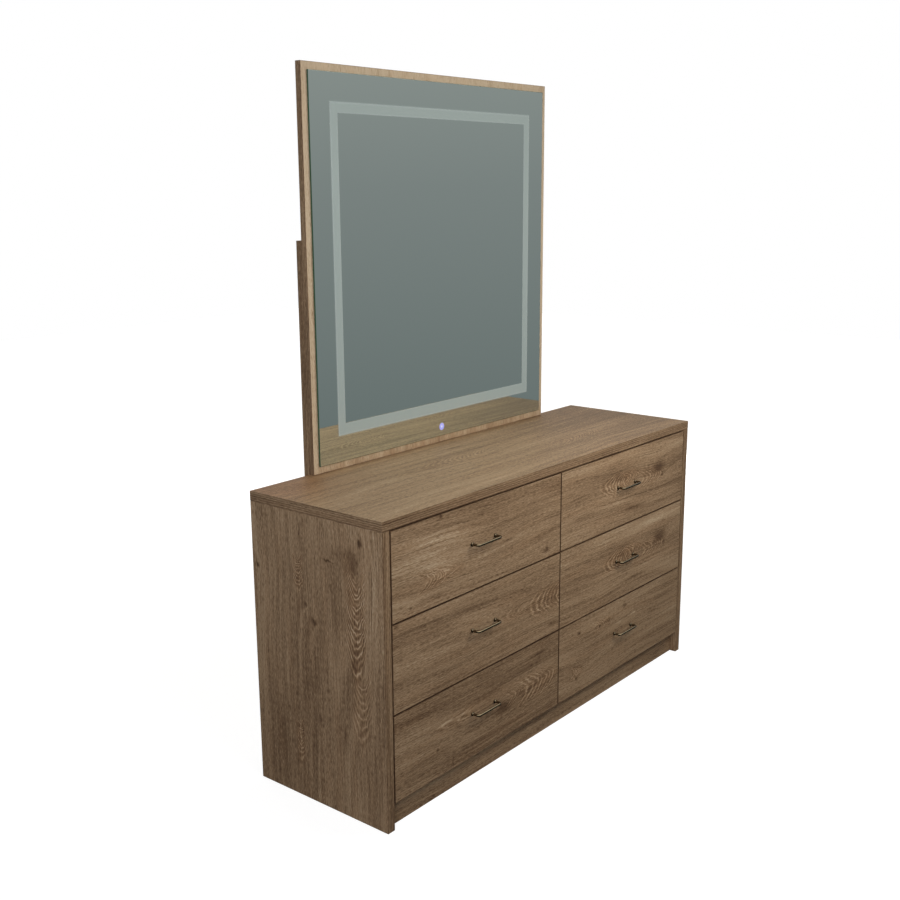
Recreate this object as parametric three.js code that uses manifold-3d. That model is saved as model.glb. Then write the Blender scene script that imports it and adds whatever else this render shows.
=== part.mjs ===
// A low, wide dresser with six drawers on roller runners, and a lit mirror board standing on its top.
// Sizes are in millimetres. X runs along the front to the right, Y to the back and Z up.
import * as THREE from "three";
import { mergeVertices } from "three/addons/utils/BufferGeometryUtils.js";
import Module from "manifold-3d";

const wasm = await Module();
wasm.setup();

// Clearances
const JOINT_GAP = 0.3; // between two pieces that touch
const RUNNING_GAP = 0.3; // between a roller and the rail that it carries
const CUT_OVERRUN = 5; // how far a cutting solid runs past the face that it opens

// Carcass
const WIDTH = 1450;
const DEPTH = 450;
const HEIGHT = 785; // floor to the upper face of the top
const OUTER_BOARD = 25; // sides and top
const INNER_BOARD = 18; // fronts, bottom, divider, plinth, mirror board and posts
const EDGE_ROUND = 1; // radius of the banded edges
const PLINTH_HEIGHT = 70;
const FRONT_CLEARANCE = 2; // between the backs of the fronts and the carcass edges
const BACK_PANEL = 4;
const BACK_INSET = 10; // rear face of the back panel in front of the boards' rear edges
const GROOVE_DEPTH = 8;
const GROOVE_PLAY = 1; // room left at the bottom of a groove

// Drawers
const ROWS = ["bottom", "middle", "top"];
const COLUMNS = ["left", "right"];
const FRONT_GAP = 3; // around each drawer front
const BOX_BOARD = 15;
const BOX_LIFT = 35; // lower edge of the box above that of its front
const BOX_HEADROOM = 32; // upper edge of the box below that of its front
const BOX_BOTTOM = 4;
const BOTTOM_LIFT = 10; // underside of the drawer bottom above the box's lower edge
const BOX_GROOVE = 7;

// Roller runners
const RUNNER_LENGTH = 400;
const RUNNER_SPACE = 12.5; // carcass to drawer box, on each side
const RUNNER_SETBACK = 2; // behind the carcass's front edge
const STEEL = 1.2; // sheet that the runners are rolled from
const ROLLER_RADIUS = 9;
const ROLLER_WIDTH = 7;
const ROLLER_AXIS_LIFT = 6.5; // axis above the lower edge of the drawer box
const SHELF_WIDTH = 11; // flange under the drawer side
const SCREW_HOLE_RADIUS = 2.25;
const SCREW_HOLE_PITCH = 128;
const FIRST_SCREW_HOLE = 64; // from a runner's front end
const SCREW_HOLES = 3;

// Handles
const HANDLE_CENTRES = 96;
const HANDLE_PROJECTION = 25;
const HANDLE_RAISE = 8; // above the middle of the drawer front
const HANDLE_BEND = 8; // radius of the bends, at the middle of the rod
const ROD_RADIUS = 3.4;
const FOOT_RADIUS = 5.5;
const FOOT_HEIGHT = 3;
const FOOT_TAPER = 2;

// Mirror board, its glass and its posts
const MIRROR_INSET = 205; // mirror board from each end of the top
const GLASS_MARGIN = 20; // board showing round the glass
const GLASS_THICKNESS = 5;
const GLASS_ROUND = 0.8;
const BAND_MARGIN = 88; // board's edge to the frosted band
const BAND_WIDTH = 30;
const SWITCH_HEIGHT = 45; // touch switch above the board's lower edge
const MIRROR_POST_WIDTH = 100;
const MIRROR_POST_RISE = 608; // above the dresser's top

// Lighting kit
const CHANNEL_WIDTH = 16;
const CHANNEL_DEPTH = 8;
const STRIP_WIDTH = 10;
const STRIP_THICKNESS = 3;
const PAD_RADIUS = 12;
const PAD_POCKET_RADIUS = 15;
const LEAD_RADIUS = 3;
const LEAD_HOLE_RADIUS = 5;
const DRIVER_LENGTH = 150;
const DRIVER_HEIGHT = 46;
const DRIVER_DEPTH = 16;
const DRIVER_CORNER = 5;
const EAR_LENGTH = 14;
const EAR_THICKNESS = 2.5;
const INLET_WIDTH = 14;
const INLET_HEIGHT = 9;
const INLET_DEPTH = 12;

// Steps of the round forms
const ROUND_STEPS = 2;
const ROLLER_SIDES = 16;
const HOLE_SIDES = 8;
const FINE_SIDES = 14;
const BEND_STEPS = 5;
const CORNER_STEPS = 4;

// Sizes that follow from the ones above
const INNER_WIDTH = WIDTH - 2 * OUTER_BOARD;
const TOP_UNDERSIDE = HEIGHT - OUTER_BOARD;
const CARCASS_FRONT = -DEPTH / 2 + INNER_BOARD + FRONT_CLEARANCE;
const BOTTOM_TOP = PLINTH_HEIGHT + JOINT_GAP + INNER_BOARD;
const BACK_PANEL_REAR = DEPTH / 2 - BACK_INSET;
const GROOVE_REACH = GROOVE_DEPTH - GROOVE_PLAY;
const FRONT_WIDTH = (INNER_WIDTH - (COLUMNS.length + 1) * FRONT_GAP) / COLUMNS.length;
const FRONT_HEIGHT = (TOP_UNDERSIDE - PLINTH_HEIGHT - ROWS.length * FRONT_GAP) / ROWS.length;
const BAY_WIDTH = (INNER_WIDTH - INNER_BOARD) / COLUMNS.length;
const BOX_WIDTH = BAY_WIDTH - 2 * RUNNER_SPACE;
const BOX_HEIGHT = FRONT_HEIGHT - BOX_LIFT - BOX_HEADROOM;
const MIRROR_BOARD = WIDTH - 2 * MIRROR_INSET; // square
const REACH_FRONT = JOINT_GAP + HANDLE_PROJECTION;
const REACH_BACK = JOINT_GAP + INNER_BOARD;

const AXES = [new THREE.Vector3(1, 0, 0), new THREE.Vector3(0, 1, 0), new THREE.Vector3(0, 0, 1)];

const FINISH = {
  oak: { color: 0x8a7259, roughness: 0.55, metalness: 0 },
  box: { color: 0xc9b28f, roughness: 0.7, metalness: 0 },
  hardboard: { color: 0xb79b76, roughness: 0.8, metalness: 0 },
  steel: { color: 0xb9bcc0, roughness: 0.35, metalness: 0.9 },
  bronze: { color: 0x3b3029, roughness: 0.3, metalness: 0.9 },
  mirror: { color: 0x8b9799, roughness: 0.05, metalness: 1 },
  plastic: { color: 0xe4e4df, roughness: 0.5, metalness: 0 },
};

// Solids from closed geometries, and back

function solidOf(geometry) {
  const bare = geometry.index ? geometry.toNonIndexed() : geometry.clone();
  bare.deleteAttribute("normal");
  bare.deleteAttribute("uv");
  const merged = mergeVertices(bare);
  const mesh = new wasm.Mesh({
    numProp: 3,
    vertProperties: merged.attributes.position.array,
    triVerts: new Uint32Array(merged.index.array),
  });
  return new wasm.Manifold(mesh);
}

function geometryOf(solid) {
  const { vertProperties, triVerts } = solid.getMesh();
  const geometry = new THREE.BufferGeometry();
  geometry.setAttribute("position", new THREE.BufferAttribute(vertProperties, 3));
  geometry.setIndex(new THREE.BufferAttribute(triVerts, 1));
  geometry.computeVertexNormals();
  return geometry;
}

const cut = (body, ...cutters) =>
  geometryOf(cutters.reduce((left, cutter) => left.subtract(solidOf(cutter)), solidOf(body)));

const join = (body, ...others) =>
  geometryOf(others.reduce((whole, other) => whole.add(solidOf(other)), solidOf(body)));

// Forms, each with its lowest corner at the origin unless a comment says otherwise

function block(x, y, z) {
  return new THREE.BoxGeometry(x, y, z).translate(x / 2, y / 2, z / 2);
}

function rectangle(x, y) {
  const outline = new THREE.Shape();
  outline.moveTo(0, 0);
  outline.lineTo(x, 0);
  outline.lineTo(x, y);
  outline.lineTo(0, y);
  return outline.closePath();
}

// A board whose two faces have rounded edges; its thin side is the smallest of the three sizes.
function board(size, round = EDGE_ROUND) {
  const thin = size.indexOf(Math.min(...size));
  const [first, second] = [(thin + 1) % 3, (thin + 2) % 3];
  const geometry = new THREE.ExtrudeGeometry(rectangle(size[first], size[second]), {
    depth: size[thin] - 2 * round,
    bevelThickness: round,
    bevelSize: round,
    bevelOffset: -round,
    bevelSegments: ROUND_STEPS,
  });
  geometry.translate(0, 0, round);
  return geometry.applyMatrix4(new THREE.Matrix4().makeBasis(AXES[first], AXES[second], AXES[thin]));
}

// An outline in X and Z, run towards the back.
function runBack(outline, length) {
  const settings = { depth: length, bevelEnabled: false, curveSegments: CORNER_STEPS };
  const geometry = new THREE.ExtrudeGeometry(outline, settings);
  return geometry.rotateX(Math.PI / 2).translate(0, length, 0);
}

// A rod along X or Y that starts at the origin.
function rod(radius, length, along, sides) {
  const geometry = new THREE.CylinderGeometry(radius, radius, length, sides);
  geometry.translate(0, length / 2, 0);
  return along === "x" ? geometry.rotateZ(-Math.PI / 2) : geometry;
}

function piece(name, geometry, finish, x = 0, y = 0, z = 0) {
  const material = new THREE.MeshStandardMaterial(FINISH[finish]);
  const mesh = new THREE.Mesh(geometry, material);
  mesh.name = name;
  mesh.position.set(x, y, z);
  return mesh;
}

// Carcass

function backGroove(length, along) {
  const width = BACK_PANEL + 2 * JOINT_GAP;
  return along === "z" ? block(GROOVE_DEPTH, width, length) : block(length, width, GROOVE_DEPTH);
}

function sidePanel(side) {
  const height = TOP_UNDERSIDE - JOINT_GAP;
  const grooveStart = BOTTOM_TOP - GROOVE_DEPTH;
  const groove = backGroove(height + CUT_OVERRUN - grooveStart, "z");
  const innerFace = side < 0 ? OUTER_BOARD - GROOVE_DEPTH : 0;
  const grooveFront = DEPTH - BACK_INSET - BACK_PANEL - JOINT_GAP;
  groove.translate(innerFace, grooveFront, grooveStart);
  const panel = cut(board([OUTER_BOARD, DEPTH, height]), groove);
  const name = side < 0 ? "side_panel_left" : "side_panel_right";
  const left = side < 0 ? -WIDTH / 2 : WIDTH / 2 - OUTER_BOARD;
  return piece(name, panel, "oak", left, -DEPTH / 2, 0);
}

function carcassBoards() {
  const innerLeft = -INNER_WIDTH / 2;
  const span = INNER_WIDTH - 2 * JOINT_GAP;
  const grooveLength = INNER_WIDTH + 2 * GROOVE_DEPTH;
  const grooveY = BACK_PANEL_REAR - BACK_PANEL - JOINT_GAP;

  const topGroove = backGroove(grooveLength, "x");
  topGroove.translate(OUTER_BOARD - GROOVE_DEPTH, grooveY + DEPTH / 2, 0);
  const top = cut(board([WIDTH, DEPTH, OUTER_BOARD]), topGroove);

  const bottomDepth = DEPTH / 2 - CARCASS_FRONT;
  const bottomGroove = backGroove(INNER_WIDTH + CUT_OVERRUN, "x");
  bottomGroove.translate(-CUT_OVERRUN, grooveY - CARCASS_FRONT, INNER_BOARD - GROOVE_DEPTH);
  const bottom = cut(board([span, bottomDepth, INNER_BOARD]), bottomGroove);

  const backFoot = BOTTOM_TOP - GROOVE_REACH;
  const backWidth = INNER_WIDTH + 2 * GROOVE_REACH;
  const backHeight = TOP_UNDERSIDE + GROOVE_REACH - backFoot;
  const back = block(backWidth, BACK_PANEL, backHeight);

  const dividerDepth = grooveY - CARCASS_FRONT;
  const dividerFoot = BOTTOM_TOP + JOINT_GAP;
  const dividerHeight = TOP_UNDERSIDE - JOINT_GAP - dividerFoot;
  const divider = board([INNER_BOARD, dividerDepth, dividerHeight]);

  const plinth = board([span, INNER_BOARD, PLINTH_HEIGHT]);

  return [
    piece("top_panel", top, "oak", -WIDTH / 2, -DEPTH / 2, TOP_UNDERSIDE),
    piece("bottom_panel", bottom, "oak", innerLeft + JOINT_GAP, CARCASS_FRONT, PLINTH_HEIGHT + JOINT_GAP),
    piece("back_panel", back, "hardboard", -backWidth / 2, BACK_PANEL_REAR - BACK_PANEL, backFoot),
    piece("centre_divider", divider, "oak", -INNER_BOARD / 2, CARCASS_FRONT, dividerFoot),
    piece("plinth_front", plinth, "oak", innerLeft + JOINT_GAP, CARCASS_FRONT, 0),
  ];
}

// Roller runners. Each member is drawn for a bay's left wall: X runs from the wall to the drawer, Y from
// the member's front end to its rear, and Z is zero at the rollers' axis. Both rollers turn on that axis.

const TRACK_TOP = -ROLLER_RADIUS - RUNNING_GAP;
const RAIL_UNDERSIDE = ROLLER_RADIUS + RUNNING_GAP;
const RAIL_TOP = RAIL_UNDERSIDE + STEEL;
const WALL_WEB = JOINT_GAP + STEEL; // inner face of the cabinet member's web
const DRAWER_WEB = RUNNER_SPACE - JOINT_GAP - STEEL; // outer face of the drawer member's web
const FLANGE_REACH = DRAWER_WEB - 2 * RUNNING_GAP;
const RAIL_START = WALL_WEB + 2 * RUNNING_GAP;

function outlineOf(points) {
  return new THREE.Shape(points.map(([x, z]) => new THREE.Vector2(x, z)));
}

// The holes lie on the rollers' axis, in the web whose face towards the wall is at x.
function screwHoles(x) {
  return Array.from({ length: SCREW_HOLES }, (_, index) => {
    const hole = rod(SCREW_HOLE_RADIUS, STEEL + 2 * JOINT_GAP, "x", HOLE_SIDES);
    return hole.translate(x - JOINT_GAP, FIRST_SCREW_HOLE + index * SCREW_HOLE_PITCH, 0);
  });
}

function cabinetMember() {
  const low = TRACK_TOP - STEEL;
  const high = RAIL_TOP + RUNNING_GAP;
  const channel = runBack(
    outlineOf([
      [JOINT_GAP, low],
      [FLANGE_REACH, low],
      [FLANGE_REACH, TRACK_TOP],
      [WALL_WEB, TRACK_TOP],
      [WALL_WEB, high],
      [FLANGE_REACH, high],
      [FLANGE_REACH, high + STEEL],
      [JOINT_GAP, high + STEEL],
    ]),
    RUNNER_LENGTH,
  );
  // The track stops short of the front roller.
  const notchLength = 2 * ROLLER_RADIUS + RUNNING_GAP;
  const notch = block(FLANGE_REACH, notchLength + CUT_OVERRUN, STEEL + CUT_OVERRUN);
  notch.translate(WALL_WEB, -CUT_OVERRUN, TRACK_TOP - STEEL - CUT_OVERRUN);
  const roller = rod(ROLLER_RADIUS, STEEL + ROLLER_WIDTH, "x", ROLLER_SIDES);
  roller.translate(JOINT_GAP, ROLLER_RADIUS, 0);
  return join(cut(channel, notch, ...screwHoles(JOINT_GAP)), roller);
}

function drawerMember() {
  const webRear = DRAWER_WEB + STEEL;
  const shelfTop = -ROLLER_AXIS_LIFT - JOINT_GAP;
  const shelfEnd = RUNNER_SPACE + SHELF_WIDTH;
  const bracket = runBack(
    outlineOf([
      [RAIL_START, RAIL_UNDERSIDE],
      [DRAWER_WEB, RAIL_UNDERSIDE],
      [DRAWER_WEB, shelfTop - STEEL],
      [shelfEnd, shelfTop - STEEL],
      [shelfEnd, shelfTop],
      [webRear, shelfTop],
      [webRear, RAIL_TOP],
      [RAIL_START, RAIL_TOP],
    ]),
    RUNNER_LENGTH,
  );
  const roller = rod(ROLLER_RADIUS, ROLLER_WIDTH + STEEL, "x", ROLLER_SIDES);
  roller.translate(DRAWER_WEB - ROLLER_WIDTH, RUNNER_LENGTH - ROLLER_RADIUS, 0);
  return join(cut(bracket, ...screwHoles(DRAWER_WEB)), roller);
}

// The two walls of a bay, and the way from each to the drawer.
const BAY_SIDES = [
  { side: "left", wall: 0, way: 1 },
  { side: "right", wall: BAY_WIDTH, way: -1 },
];

function runnerPair(name, member, x, y, z) {
  return BAY_SIDES.map(({ side, wall, way }) => {
    const runner = piece(`${name}_${side}`, member(), "steel", x + wall, y, z);
    runner.scale.x = way;
    return runner;
  });
}

// Handles: a rod with turned feet, bent into two legs and a rail. The origin is on the drawer front,
// midway between the feet.

const HANDLE_LEG = HANDLE_PROJECTION - ROD_RADIUS - HANDLE_BEND;
const BEND_LENGTH = (HANDLE_BEND * Math.PI) / 2;
const HALF_ROD = HANDLE_LEG + BEND_LENGTH + HANDLE_CENTRES / 2 - HANDLE_BEND;

// Where a point of the straight rod goes in X and Y: run is its way from the nearer foot, and inward is
// how far it lies from the rod's middle towards the inside of the bend.
function bent(run, inward) {
  const turn = Math.min(Math.max(run - HANDLE_LEG, 0) / HANDLE_BEND, Math.PI / 2);
  const rail = Math.max(run - HANDLE_LEG - BEND_LENGTH, 0);
  const radius = HANDLE_BEND - inward;
  return [
    rail - HANDLE_CENTRES / 2 + HANDLE_BEND - radius * Math.cos(turn),
    -Math.min(run, HANDLE_LEG) - radius * Math.sin(turn),
  ];
}

function handle() {
  const stations = [
    [0, 0],
    [FOOT_RADIUS, 0],
    [FOOT_RADIUS, FOOT_HEIGHT],
    [ROD_RADIUS, FOOT_HEIGHT + FOOT_TAPER],
  ];
  for (let step = 0; step <= BEND_STEPS; step += 1) {
    stations.push([ROD_RADIUS, HANDLE_LEG + (step / BEND_STEPS) * BEND_LENGTH]);
  }
  const farHalf = stations.toReversed().map(([radius, run]) => [radius, 2 * HALF_ROD - run]);
  const profile = [...stations, ...farHalf].map(([radius, run]) => new THREE.Vector2(radius, run));
  const geometry = new THREE.LatheGeometry(profile, FINE_SIDES);
  const place = geometry.attributes.position;
  for (let index = 0; index < place.count; index += 1) {
    const run = place.getY(index);
    const [x, y] = bent(Math.min(run, 2 * HALF_ROD - run), place.getX(index));
    place.setXYZ(index, run > HALF_ROD ? -x : x, y, -place.getZ(index));
  }
  return join(geometry);
}

// Drawers. A drawer's origin is its bay's left wall, at the front's face and lower edge.

function drawerBox() {
  const inside = BOX_WIDTH - 2 * BOX_BOARD;
  const shell = block(BOX_WIDTH, RUNNER_LENGTH, BOX_HEIGHT);
  const room = block(inside, RUNNER_LENGTH - 2 * BOX_BOARD, BOX_HEIGHT + 2 * CUT_OVERRUN);
  room.translate(BOX_BOARD, BOX_BOARD, -CUT_OVERRUN);
  const groove = block(
    inside + 2 * BOX_GROOVE,
    RUNNER_LENGTH - 2 * BOX_BOARD + 2 * BOX_GROOVE,
    BOX_BOTTOM + 2 * JOINT_GAP,
  );
  groove.translate(BOX_BOARD - BOX_GROOVE, BOX_BOARD - BOX_GROOVE, BOTTOM_LIFT - JOINT_GAP);
  return cut(shell, room, groove);
}

function drawerBottom() {
  const reach = BOX_GROOVE - GROOVE_PLAY;
  const width = BOX_WIDTH - 2 * BOX_BOARD + 2 * reach;
  const length = RUNNER_LENGTH - 2 * BOX_BOARD + 2 * reach;
  return block(width, length, BOX_BOTTOM).translate(BOX_BOARD - reach, BOX_BOARD - reach, BOTTOM_LIFT);
}

function drawer(row, column) {
  const name = `drawer_${ROWS[row]}_${COLUMNS[column]}`;
  const bayLeft = column === 0 ? -INNER_WIDTH / 2 : INNER_BOARD / 2;
  const frontLeft = column === 0 ? FRONT_GAP : -(INNER_BOARD - FRONT_GAP) / 2;
  const boxFront = INNER_BOARD + JOINT_GAP;
  const axis = BOX_LIFT + ROLLER_AXIS_LIFT;
  const front = board([FRONT_WIDTH, INNER_BOARD, FRONT_HEIGHT]);
  const group = new THREE.Group();
  group.position.set(bayLeft, -DEPTH / 2, PLINTH_HEIGHT + row * (FRONT_HEIGHT + FRONT_GAP));
  group.add(
    piece(`${name}_front`, front, "oak", frontLeft, 0, 0),
    piece(`${name}_box`, drawerBox(), "box", RUNNER_SPACE, boxFront, BOX_LIFT),
    piece(`${name}_bottom`, drawerBottom(), "hardboard", RUNNER_SPACE, boxFront, BOX_LIFT),
    piece(
      `${name}_handle`,
      handle(),
      "bronze",
      frontLeft + FRONT_WIDTH / 2,
      -JOINT_GAP,
      FRONT_HEIGHT / 2 + HANDLE_RAISE,
    ),
    ...runnerPair(`${name}_runner`, drawerMember, 0, boxFront, axis),
    ...runnerPair(
      `bay_${ROWS[row]}_${COLUMNS[column]}_runner`,
      cabinetMember,
      0,
      CARCASS_FRONT + DEPTH / 2 + RUNNER_SETBACK,
      axis,
    ),
  );
  return group;
}

// Mirror. Its origin is the middle of the board's lower front edge.

function squareRing(outer, width, thickness) {
  const opening = block(outer - 2 * width, thickness + 2 * CUT_OVERRUN, outer - 2 * width);
  return cut(block(outer, thickness, outer), opening.translate(width, -CUT_OVERRUN, width));
}

// The strip and the channel that it lies in run round the middle of the frosted band.
function bandRing(width, thickness) {
  const margin = BAND_MARGIN + (BAND_WIDTH - width) / 2;
  const ring = squareRing(MIRROR_BOARD - 2 * margin, width, thickness);
  return ring.translate(margin - MIRROR_BOARD / 2, 0, margin);
}

const BAND_LINE = BAND_MARGIN + BAND_WIDTH / 2;

function mirrorBoard() {
  const body = board([MIRROR_BOARD, INNER_BOARD, MIRROR_BOARD]).translate(-MIRROR_BOARD / 2, 0, 0);
  const channelDepth = CHANNEL_DEPTH + CUT_OVERRUN;
  const channel = bandRing(CHANNEL_WIDTH, channelDepth).translate(0, -CUT_OVERRUN, 0);
  const branch = block(CHANNEL_WIDTH / 2, channelDepth, BAND_LINE - SWITCH_HEIGHT);
  branch.translate(-CHANNEL_WIDTH / 4, -CUT_OVERRUN, SWITCH_HEIGHT);
  const pocket = rod(PAD_POCKET_RADIUS, channelDepth, "y", FINE_SIDES);
  pocket.translate(0, -CUT_OVERRUN, SWITCH_HEIGHT);
  const hole = rod(LEAD_HOLE_RADIUS, INNER_BOARD + 2 * CUT_OVERRUN, "y", HOLE_SIDES);
  hole.translate(0, -CUT_OVERRUN, BAND_LINE);
  return cut(body, channel, branch, pocket, hole);
}

function roundedPlate(length, height, corner) {
  const outline = new THREE.Shape();
  outline.moveTo(corner, 0);
  outline.lineTo(length - corner, 0);
  outline.absarc(length - corner, corner, corner, -Math.PI / 2, 0);
  outline.lineTo(length, height - corner);
  outline.absarc(length - corner, height - corner, corner, 0, Math.PI / 2);
  outline.lineTo(corner, height);
  outline.absarc(corner, height - corner, corner, Math.PI / 2, Math.PI);
  outline.lineTo(0, corner);
  outline.absarc(corner, corner, corner, Math.PI, 1.5 * Math.PI);
  return outline;
}

// The driver is screwed to the back of the board by its two ears, and its inlet opens downwards.
function driver() {
  const rear = INNER_BOARD + JOINT_GAP;
  const caseBody = runBack(roundedPlate(DRIVER_LENGTH, DRIVER_HEIGHT, DRIVER_CORNER), DRIVER_DEPTH);
  caseBody.translate(-DRIVER_LENGTH / 2, rear, BAND_LINE - DRIVER_HEIGHT / 2);
  const earSpan = DRIVER_LENGTH + 2 * EAR_LENGTH;
  const ears = runBack(roundedPlate(earSpan, DRIVER_HEIGHT / 2, DRIVER_CORNER), EAR_THICKNESS);
  ears.translate(-earSpan / 2, rear, BAND_LINE - DRIVER_HEIGHT / 4);
  const inlet = block(INLET_WIDTH, INLET_HEIGHT, INLET_DEPTH + CUT_OVERRUN);
  inlet.translate(
    -INLET_WIDTH / 2,
    rear + (DRIVER_DEPTH - INLET_HEIGHT) / 2,
    BAND_LINE - DRIVER_HEIGHT / 2 - CUT_OVERRUN,
  );
  const earHoles = [-1, 1].map((side) => {
    const hole = rod(SCREW_HOLE_RADIUS, EAR_THICKNESS + 2 * JOINT_GAP, "y", HOLE_SIDES);
    return hole.translate((side * (DRIVER_LENGTH + EAR_LENGTH)) / 2, rear - JOINT_GAP, BAND_LINE);
  });
  return cut(join(caseBody, ears), inlet, ...earHoles);
}

// Strip, touch pad, leads and driver are soldered together, and come apart from the board as one kit.
function lightingKit() {
  const stripFront = CHANNEL_DEPTH - JOINT_GAP - STRIP_THICKNESS;
  const strip = bandRing(STRIP_WIDTH, STRIP_THICKNESS).translate(0, stripFront, 0);
  const branch = block(STRIP_THICKNESS, STRIP_THICKNESS, BAND_LINE - SWITCH_HEIGHT);
  branch.translate(-STRIP_THICKNESS / 2, stripFront, SWITCH_HEIGHT);
  const pad = rod(PAD_RADIUS, CHANNEL_DEPTH - 2 * JOINT_GAP, "y", FINE_SIDES);
  pad.translate(0, JOINT_GAP, SWITCH_HEIGHT);
  const leadLength = INNER_BOARD + 2 * JOINT_GAP + EAR_THICKNESS - stripFront;
  const lead = rod(LEAD_RADIUS, leadLength, "y", HOLE_SIDES).translate(0, stripFront, BAND_LINE);
  return join(strip, branch, pad, lead, driver());
}

function mirror() {
  const glassSize = MIRROR_BOARD - 2 * GLASS_MARGIN;
  const glass = board([glassSize, GLASS_THICKNESS, glassSize], GLASS_ROUND);
  const group = new THREE.Group();
  group.position.set(0, DEPTH / 2 - INNER_BOARD, HEIGHT + JOINT_GAP);
  group.add(
    piece("mirror_board", mirrorBoard(), "oak"),
    piece("mirror_glass", glass, "mirror", -glassSize / 2, -GLASS_THICKNESS - JOINT_GAP, GLASS_MARGIN),
    piece("lighting_kit", lightingKit(), "plastic"),
  );
  return group;
}

// The posts reach from the bottom panel's rear edge up behind the mirror board, flush with its sides.
function mirrorPosts() {
  const length = HEIGHT + MIRROR_POST_RISE - PLINTH_HEIGHT;
  const outerEdge = MIRROR_BOARD / 2;
  return COLUMNS.map((column, index) => {
    const x = index === 0 ? -outerEdge : outerEdge - MIRROR_POST_WIDTH;
    const post = board([MIRROR_POST_WIDTH, INNER_BOARD, length]);
    return piece(`mirror_post_${column}`, post, "oak", x, DEPTH / 2 + JOINT_GAP, PLINTH_HEIGHT);
  });
}

const dresser = new THREE.Group();
dresser.add(sidePanel(-1), sidePanel(1), ...carcassBoards(), mirror(), ...mirrorPosts());
for (const row of ROWS.keys()) {
  for (const column of COLUMNS.keys()) {
    dresser.add(drawer(row, column));
  }
}
// The origin is on the floor, in the middle of all that the dresser covers from handles to posts.
dresser.position.y = (REACH_FRONT - REACH_BACK) / 2;

export default dresser;
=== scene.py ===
"""The looks of a six-drawer dresser with a lit mirror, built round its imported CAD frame.

X runs along the front to the right, Y to the back and Z up. Lengths are in metres, except in the
tables of marks, flames, turned fixings and rolled members, which are in millimetres.
"""

import logging
import math
from dataclasses import dataclass, replace
from enum import Enum
from typing import ClassVar, Iterable, Optional, Union
import bmesh  # noqa: E402
import bpy  # noqa: E402
from mathutils import Matrix, Vector  # noqa: E402


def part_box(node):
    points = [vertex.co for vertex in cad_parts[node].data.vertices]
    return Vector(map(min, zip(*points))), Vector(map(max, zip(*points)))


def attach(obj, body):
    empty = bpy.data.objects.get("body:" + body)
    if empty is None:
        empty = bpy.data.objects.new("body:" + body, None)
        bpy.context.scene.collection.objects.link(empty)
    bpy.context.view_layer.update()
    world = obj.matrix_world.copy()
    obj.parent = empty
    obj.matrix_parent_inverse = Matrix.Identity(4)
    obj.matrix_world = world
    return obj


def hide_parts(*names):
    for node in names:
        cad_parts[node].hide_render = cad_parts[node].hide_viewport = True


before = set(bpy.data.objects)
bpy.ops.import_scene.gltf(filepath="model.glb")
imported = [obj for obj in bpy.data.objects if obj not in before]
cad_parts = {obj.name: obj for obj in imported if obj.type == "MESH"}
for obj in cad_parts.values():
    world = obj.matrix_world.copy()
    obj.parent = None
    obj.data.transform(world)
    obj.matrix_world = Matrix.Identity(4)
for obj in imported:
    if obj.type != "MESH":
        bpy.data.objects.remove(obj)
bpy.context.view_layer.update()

logging.basicConfig(level=logging.INFO, format="%(message)s")
log = logging.getLogger("dresser")

Node = bpy.types.Node
Object = bpy.types.Object
Material = bpy.types.Material
Edges = list[bmesh.types.BMEdge]
Value = Union[float, tuple, "Term"]
Place = tuple[float, float, float]
Pair = tuple[float, float]
Colour = tuple[float, float, float, float]

MM = 0.001
ROWS = ("bottom", "middle", "top")
COLUMNS = ("left", "right")
SIDES = ("left", "right")
WHITE: Colour = (1.0, 1.0, 1.0, 1.0)
SHARP_ANGLE = math.radians(35)


def paint(red: int, green: int, blue: int) -> Colour:
    """Turn a screen colour into the linear one that a shader takes.

    Args:
        red: Red from 0 to 255.
        green: Green from 0 to 255.
        blue: Blue from 0 to 255.

    Returns:
        The linear colour with full alpha.
    """
    shares = (channel / 255 for channel in (red, green, blue))
    linear = (s / 12.92 if s <= 0.04045 else ((s + 0.055) / 1.055) ** 2.4 for s in shares)
    return (*linear, 1.0)


class Term:
    """What an output of a node gives. The usual operators add Math nodes to its tree."""

    def __init__(self, shader: "Shader", socket: bpy.types.NodeSocket) -> None:
        """Take the tree's shader and the output."""
        self.shader, self.socket = shader, socket

    def __add__(self, other: Value) -> "Term":
        """Return the sum."""
        return self.shader.math("ADD", self, other)

    def __sub__(self, other: Value) -> "Term":
        """Return the difference."""
        return self.shader.math("SUBTRACT", self, other)

    def __rsub__(self, other: Value) -> "Term":
        """Return the difference from another value."""
        return self.shader.math("SUBTRACT", other, self)

    def __mul__(self, other: Value) -> "Term":
        """Return the product."""
        return self.shader.math("MULTIPLY", self, other)

    def __truediv__(self, other: Value) -> "Term":
        """Return the quotient."""
        return self.shader.math("DIVIDE", self, other)

    def __pow__(self, other: Value) -> "Term":
        """Return the power."""
        return self.shader.math("POWER", self, other)

    def __abs__(self) -> "Term":
        """Return the value without its sign."""
        return self.shader.math("ABSOLUTE", self)

    __radd__ = __add__
    __rmul__ = __mul__


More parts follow.
